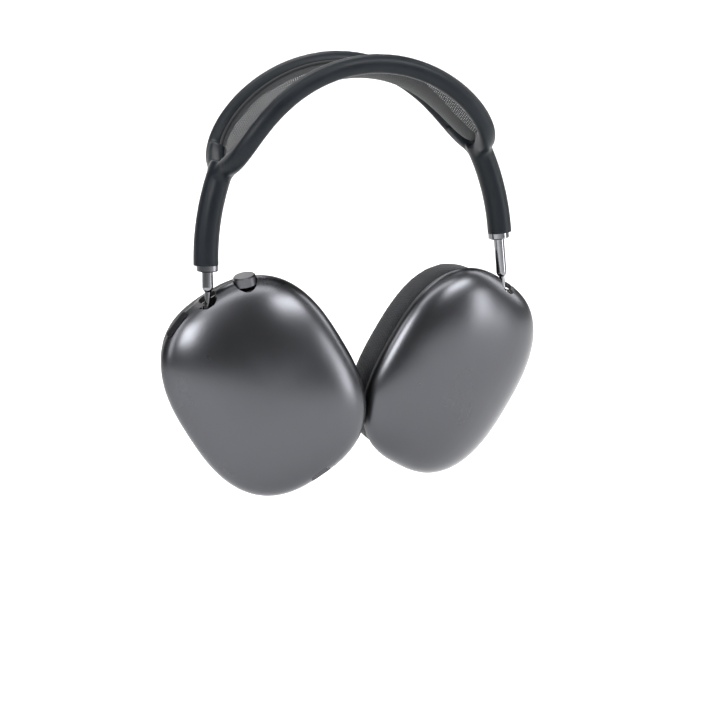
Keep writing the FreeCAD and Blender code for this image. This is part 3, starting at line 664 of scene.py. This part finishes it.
def ear_cloth(side):
    """Thin acoustic cloth stretched over the opening, slightly domed."""
    sides, rows = 120, 22
    matrix = cup_matrix(side)
    points, faces = [Vector((0, 0, -4.35))], []
    for i in range(1, rows + 1):
        share = i / rows
        for k in range(sides):
            p = outline(EAR_HALF_WIDTH + 0.3, EAR_HALF_LENGTH + 0.3, 2 * math.pi * k / sides) * share
            points.append(Vector((p.x, p.y, -3.6 - 0.75 * (1 - share * share))))
    for k in range(sides):
        n = (k + 1) % sides
        faces.append((0, 1 + n, 1 + k))
        for i in range(rows - 1):
            a, b = 1 + i * sides, 1 + (i + 1) * sides
            faces.append((a + k, a + n, b + n, b + k))
    cloth = mesh_object("ear_cloth_" + side, [matrix @ p for p in points], faces, 1.0)
    solid = cloth.modifiers.new("thickness", "SOLIDIFY")
    solid.thickness = 0.4 * MM
    solid.offset = 0
    bake(cloth)
    outward_faces(cloth.data)
    return cloth


# ------------------------------------------------------------------ materials


class Maker:
    """A material with helpers for adding and wiring its nodes."""

    def __init__(self, name):
        self.material = bpy.data.materials.new(name)
        self.material.use_nodes = True
        self.tree = self.material.node_tree
        self.shader = self.tree.nodes["Principled BSDF"]
        self.coordinates = self.add("ShaderNodeTexCoord").outputs["Object"]

    def add(self, kind, **settings):
        node = self.tree.nodes.new(kind)
        for key, value in settings.items():
            setattr(node, key, value)
        return node

    def wire(self, output, target):
        self.tree.links.new(output, target)

    def set(self, **values):
        for key, value in values.items():
            self.shader.inputs[key.replace("_", " ")].default_value = value

    def noise(self, scale, detail=3.0, roughness=0.5, source=None):
        node = self.add("ShaderNodeTexNoise")
        node.inputs["Scale"].default_value = scale
        node.inputs["Detail"].default_value = detail
        node.inputs["Roughness"].default_value = roughness
        self.wire(source or self.coordinates, node.inputs["Vector"])
        return node.outputs["Fac"]

    def ramp(self, source, stops):
        node = self.add("ShaderNodeValToRGB")
        node.color_ramp.elements[0].position = stops[0][0]
        node.color_ramp.elements[0].color = (*stops[0][1], 1)
        node.color_ramp.elements[1].position = stops[-1][0]
        node.color_ramp.elements[1].color = (*stops[-1][1], 1)
        for place, colour in stops[1:-1]:
            node.color_ramp.elements.new(place).color = (*colour, 1)
        self.wire(source, node.inputs["Fac"])
        return node.outputs["Color"]

    def spread(self, source, low, high, start=0.0, end=1.0):
        node = self.add("ShaderNodeMapRange")
        node.inputs["From Min"].default_value = start
        node.inputs["From Max"].default_value = end
        node.inputs["To Min"].default_value = low
        node.inputs["To Max"].default_value = high
        self.wire(source, node.inputs["Value"])
        return node.outputs["Result"]

    def math(self, operation, a, b=None):
        node = self.add("ShaderNodeMath", operation=operation)
        for slot, value in ((0, a), (1, b)):
            if value is None:
                continue
            if isinstance(value, (int, float)):
                node.inputs[slot].default_value = value
            else:
                self.wire(value, node.inputs[slot])
        return node.outputs[0]

    def bump(self, height, strength, distance, base=None):
        node = self.add("ShaderNodeBump")
        node.inputs["Strength"].default_value = strength
        node.inputs["Distance"].default_value = distance * MM
        self.wire(height, node.inputs["Height"])
        if base is not None:
            self.wire(base, node.inputs["Normal"])
        self.wire(node.outputs["Normal"], self.shader.inputs["Normal"])
        return node.outputs["Normal"]


def metal(name, colour, low, high, grain, strength=0.06):
    """Metal with fine grain, handling marks in its roughness and a little tone variation."""
    m = Maker(name)
    m.set(Metallic=1.0)
    tone = m.noise(60, 4.0)
    dark = tuple(c * 0.95 for c in colour)
    m.wire(m.ramp(tone, [(0.1, dark), (0.9, colour)]), m.shader.inputs["Base Color"])
    m.wire(m.spread(m.noise(grain, 2.0), low, high), m.shader.inputs["Roughness"])
    if strength:
        m.bump(m.noise(grain * 2, 2.0), strength, 0.02)
    return m.material


def plastic(name, colour, roughness, grain=2500, strength=0.25):
    """Moulded plastic with a fine texture."""
    m = Maker(name)
    m.set(Specular_IOR_Level=0.45)
    tone = m.noise(140, 3.0)
    light = tuple(c * 1.25 for c in colour)
    m.wire(m.ramp(tone, [(0.35, colour), (0.7, light)]), m.shader.inputs["Base Color"])
    spread = m.spread(m.noise(700, 2.0), roughness - 0.05, roughness + 0.06, 0.3, 0.7)
    m.wire(spread, m.shader.inputs["Roughness"])
    m.bump(m.noise(grain, 2.0), strength, 0.03)
    return m.material


def rubber(name):
    """Soft touch rubber: dark slate, its low gloss and its tone slightly uneven."""
    m = Maker(name)
    tone = m.noise(45, 4.0, 0.6)
    colour = m.ramp(tone, [(0.3, (0.0022, 0.0034, 0.0048)), (0.7, (0.0036, 0.0052, 0.0072))])
    m.wire(colour, m.shader.inputs["Base Color"])
    m.wire(m.spread(m.noise(160, 3.0), 0.36, 0.44, 0.3, 0.7), m.shader.inputs["Roughness"])
    m.set(Specular_IOR_Level=0.11)
    m.bump(m.noise(2600, 2.0), 0.08, 0.03)
    return m.material


def knit(name, dark, light, pitch, depth, roughness=0.85, sheen=0.35):
    """Fine knit: rows of small loops of fuzzy yarn, uneven tone and painted shade between loops."""
    m = Maker(name)
    size = m.add("ShaderNodeVectorMath", operation="SCALE")
    size.inputs["Scale"].default_value = 1.0 / (pitch * MM)
    wobble = m.add("ShaderNodeTexNoise")
    wobble.inputs["Scale"].default_value = 220
    m.wire(m.coordinates, wobble.inputs["Vector"])
    shift = m.add("ShaderNodeVectorMath", operation="MULTIPLY_ADD")
    shift.inputs[1].default_value = (0.00025, 0.00025, 0.00025)
    m.wire(wobble.outputs["Color"], shift.inputs[0])
    m.wire(m.coordinates, shift.inputs[2])
    m.wire(shift.outputs[0], size.inputs[0])
    cells = m.add("ShaderNodeTexVoronoi", feature="F1", distance="EUCLIDEAN")
    cells.inputs["Scale"].default_value = 1.0
    cells.inputs["Randomness"].default_value = 0.25
    m.wire(size.outputs[0], cells.inputs["Vector"])
    gap = cells.outputs["Distance"]
    mottle = m.noise(90, 4.0, 0.6)
    # painted shade: the colour darkens from each loop's middle out to the hollows between loops, plus random
    # mottle
    shade = m.math("ADD", m.math("MULTIPLY", gap, 0.9), m.math("MULTIPLY", mottle, 0.35))
    m.wire(m.ramp(shade, [(0.35, light), (0.85, dark)]), m.shader.inputs["Base Color"])
    m.set(Roughness=roughness, Sheen_Weight=sheen, Sheen_Roughness=0.5, Specular_IOR_Level=0.25)
    height = m.math("SUBTRACT", 1.0, gap)
    fuzz = m.math("MULTIPLY", m.noise(5200, 2.0), 0.35)
    m.bump(m.math("ADD", height, fuzz), 0.8, depth)
    return m.material


KNIT_PITCH = 1.05
# a hole's radius and the distance between rows of holes, both in pitches
KNIT_HOLE = 0.165
KNIT_ROW = 0.866


def open_knit(name):
    """Open mesh with staggered round holes that light comes through."""
    m = Maker(name)
    place = m.add("ShaderNodeUVMap", uv_map="knit").outputs["UV"]
    parts = m.add("ShaderNodeSeparateXYZ")
    m.wire(place, parts.inputs[0])
    along = m.math("DIVIDE", parts.outputs["X"], KNIT_PITCH)
    across = m.math("DIVIDE", parts.outputs["Y"], KNIT_PITCH * KNIT_ROW)
    row = m.math("FLOOR", across)
    odd = m.math("MULTIPLY", m.math("MODULO", m.math("ABSOLUTE", row), 2.0), 0.5)
    u = m.math("SUBTRACT", m.math("FRACT", m.math("ADD", along, odd)), 0.5)
    v = m.math("MULTIPLY", m.math("SUBTRACT", m.math("FRACT", across), 0.5), KNIT_ROW)
    reach = m.math("SQRT", m.math("ADD", m.math("MULTIPLY", u, u), m.math("MULTIPLY", v, v)))
    hole = m.math("LESS_THAN", reach, KNIT_HOLE)
    yarn = m.noise(2500, 3.0)
    tone = m.ramp(yarn, [(0.3, (0.003, 0.0035, 0.004)), (0.7, (0.012, 0.013, 0.014))])
    m.wire(tone, m.shader.inputs["Base Color"])
    m.set(Roughness=0.7, Sheen_Weight=0.05, Sheen_Roughness=0.4, Specular_IOR_Level=0.2)
    m.wire(m.math("SUBTRACT", 1.0, hole), m.shader.inputs["Alpha"])
    rim = m.math("ADD", reach, m.math("MULTIPLY", yarn, 0.3))
    m.bump(rim, 0.8, 0.25)
    return m.material


def plain_gloss(name, colour, roughness, coat=0.0):
    m = Maker(name)
    light = tuple(c * 1.15 for c in colour)
    m.wire(m.ramp(m.noise(300), [(0.3, colour), (0.7, light)]), m.shader.inputs["Base Color"])
    m.wire(m.spread(m.noise(500), roughness, roughness + 0.08), m.shader.inputs["Roughness"])
    m.set(Coat_Weight=coat)
    return m.material


def board():
    """Solder mask with lighter tracks."""
    m = Maker("board_green")
    tracks = m.add("ShaderNodeTexBrick")
    tracks.inputs["Scale"].default_value = 420
    m.wire(m.coordinates, tracks.inputs["Vector"])
    green = m.ramp(tracks.outputs["Fac"], [(0.2, (0.01, 0.06, 0.03)), (0.8, (0.03, 0.16, 0.08))])
    m.wire(green, m.shader.inputs["Base Color"])
    m.set(Roughness=0.35)
    m.bump(tracks.outputs["Fac"], 0.3, 0.03)
    return m.material


MATERIALS = {
    "core_steel": metal("core_steel", (0.55, 0.56, 0.58), 0.28, 0.42, 1500),
    "band_rubber": rubber("band_rubber"),
    "canopy_knit": open_knit("canopy_knit"),
    "canopy_trim": knit(
        "canopy_trim", (0.003, 0.0035, 0.004), (0.009, 0.010, 0.011), 0.5, 0.08, 0.8, 0.04
    ),
    "polished_steel": metal("polished_steel", (0.13, 0.132, 0.140), 0.05, 0.09, 120, 0),
    "black_plastic": plastic("black_plastic", (0.012, 0.012, 0.013), 0.42),
    "shell_aluminium": metal("shell_aluminium", (0.055, 0.056, 0.061), 0.26, 0.30, 30, 0),
    # a lighter copy of the shell's metal for the rim chamfer: polish, and a painted highlight line
    "rim_polish_and_highlight": metal("rim_polish_and_highlight", (0.55, 0.55, 0.57), 0.12, 0.2, 900, 0.02),
    "crown_steel": metal("crown_steel", (0.045, 0.046, 0.050), 0.16, 0.22, 60, 0),
    "cushion_knit": knit(
        "cushion_knit", (0.003, 0.0034, 0.004), (0.016, 0.017, 0.020), 0.62, 0.22, 0.85, 0.06
    ),
    "ear_cloth": knit(
        "ear_cloth", (0.003, 0.003, 0.0035), (0.014, 0.015, 0.017), 0.45, 0.10, 0.85, 0.06
    ),
    "magnet_nickel": metal("magnet_nickel", (0.6, 0.6, 0.58), 0.1, 0.2, 900),
    "diaphragm_film": plain_gloss("diaphragm_film", (0.06, 0.06, 0.07), 0.2, 0.4),
    "grille_black": plastic("grille_black", (0.015, 0.015, 0.015), 0.35),
    "board_green": board(),
    "cell_wrap": plain_gloss("cell_wrap", (0.3, 0.32, 0.34), 0.3),
    "light_lens": plain_gloss("light_lens", (0.12, 0.12, 0.12), 0.2, 0.3),
}


def dress_nodes():
    """Gives every CAD node its procedural material, and softens the sharp edges that show."""
    slots = {s["node"]: s["material_slot"] for s in record["subparts"]}
    for name, node in nodes.items():
        node.data.materials.clear()
        node.data.materials.append(MATERIALS[slots[name]])
        if name.startswith(("end_collar", "crown_knob", "noise_button", "joint_liner")):
            bevel = node.modifiers.new("edges", "BEVEL")
            bevel.width = 0.12 * MM
            bevel.segments = 2
            bevel.limit_method = "ANGLE"


# ------------------------------------------------------------------ assembly


def place(piece, body, material, slot, *replaced):
    piece.data.materials.clear()
    piece.data.materials.append(MATERIALS[material])
    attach(piece, body)
    if replaced:
        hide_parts(*replaced)
    return piece


def build():
    dress_nodes()
    place(headband_cover(), "headband", "band_rubber", "band_rubber", "headband_cover")
    canopy = canopy_sheet()
    place(canopy, "headband", "canopy_knit", "canopy_knit", "canopy_mesh")
    hem = place(canopy_hem(), "headband", "canopy_trim", "canopy_knit")
    for side in SIDES:
        shell = ear_shell(side)
        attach(shell, "cup_" + side)
        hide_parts("outer_shell_" + side)
        pad = ear_cushion(side)
        place(pad, "cup_" + side, "cushion_knit", "cushion_knit", "ear_cushion_" + side)
        cloth = ear_cloth(side)
        place(cloth, "cup_" + side, "ear_cloth", "ear_cloth", "ear_mesh_" + side)


def add_light(name, place_at, aim, size, power):
    """A white soft box."""
    lamp = bpy.data.lights.new(name, "AREA")
    lamp.shape = "RECTANGLE"
    lamp.size, lamp.size_y = size
    lamp.energy = power
    holder = bpy.data.objects.new(name, lamp)
    scene.collection.objects.link(holder)
    holder.location = place_at
    direction = Vector(aim) - Vector(place_at)
    holder.rotation_euler = direction.to_track_quat("-Z", "Y").to_euler()


FLOOR_DROP = 0.078


def add_stage():
    """Pale sweep for a floor, an even dim sky and soft boxes."""
    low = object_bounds()[0][2]
    floor_height = low - FLOOR_DROP
    mesh = bpy.data.meshes.new("floor")
    rows = []
    for i in range(24):
        t = i / 23
        rows.append((-3.0 + 5.0 * t, floor_height))
    for i in range(1, 13):
        turn = math.pi / 2 * i / 12
        rows.append((2.0 + 1.2 * math.sin(turn), floor_height + 1.2 * (1 - math.cos(turn))))
    rows.append((3.2, floor_height + 4.0))
    points = [(x, y, z) for y, z in rows for x in (-4.0, 4.0)]
    faces = [(2 * i, 2 * i + 1, 2 * i + 3, 2 * i + 2) for i in range(len(rows) - 1)]
    mesh.from_pydata(points, [], faces)
    mesh.shade_smooth()
    floor = new_object("floor", mesh)
    m = Maker("floor_pale")
    pale = m.ramp(m.noise(6), [(0.3, (0.90, 0.90, 0.90)), (0.7, (0.93, 0.93, 0.93))])
    m.wire(pale, m.shader.inputs["Base Color"])
    m.set(Roughness=0.8, Specular_IOR_Level=0.2)
    mesh.materials.append(m.material)

    world = bpy.data.worlds.new("studio")
    world.use_nodes = True
    sky = world.node_tree.nodes["Background"]
    sky.inputs["Color"].default_value = (1, 1, 1, 1)
    sky.inputs["Strength"].default_value = 0.22
    scene.world = world

    centre = (0, 0, -0.08)
    add_light("left_box", (-0.95, -0.15, 0.35), centre, (0.2, 0.8), 5)
    add_light("right_box", (0.90, -0.05, 0.35), centre, (0.2, 0.8), 5)
    add_light("front_left_box", (-0.68, -0.61, 0.31), centre, (0.34, 0.36), 9)
    add_light("front_right_box", (0.48, -0.77, 0.42), centre, (0.55, 0.24), 9)
    add_light("low_right_box", (0.85, -0.62, -0.08), centre, (0.24, 0.34), 4)
    add_light("front_top_box", (-0.10, -0.60, 0.70), centre, (1.0, 0.22), 7)
    add_light("top_box", (0.0, 0.25, 1.0), centre, (0.9, 0.5), 10)
    add_light("floor_box", (0, 0.6, 2.2), (0, 1.0, floor_height), (2.5, 2.5), 60)
    add_light("wall_box", (0, 1.4, 1.6), (0, 3.2, 0.6), (2.5, 1.5), 60)


CAMERA_LENS = 105.6
CAMERA_TURN = (-24.0, 11.51, -2.65)
CAMERA_PLACE = (-0.3517, -0.7875, 0.0594)


def add_camera():
    """A long lens a little above the band, to the left of the middle and slightly rolled."""
    camera_data = bpy.data.cameras.new("camera")
    camera_data.lens = CAMERA_LENS
    camera_data.sensor_width = 36
    camera = bpy.data.objects.new("camera", camera_data)
    scene.collection.objects.link(camera)
    azimuth, elevation, roll = (math.radians(angle) for angle in CAMERA_TURN)
    back = Vector(
        (
            math.sin(azimuth) * math.cos(elevation),
            -math.cos(azimuth) * math.cos(elevation),
            math.sin(elevation),
        )
    )
    right = Vector((math.cos(azimuth), math.sin(azimuth), 0))
    up = back.cross(right)
    across = right * math.cos(roll) + up * math.sin(roll)
    upward = up * math.cos(roll) - right * math.sin(roll)
    turn = Matrix((across, upward, back)).transposed().to_4x4()
    camera.matrix_world = Matrix.Translation(CAMERA_PLACE) @ turn
    camera_data.clip_start = 0.05
    scene.camera = camera
    scene.view_settings.view_transform = "Standard"


build()
add_stage()
add_camera()
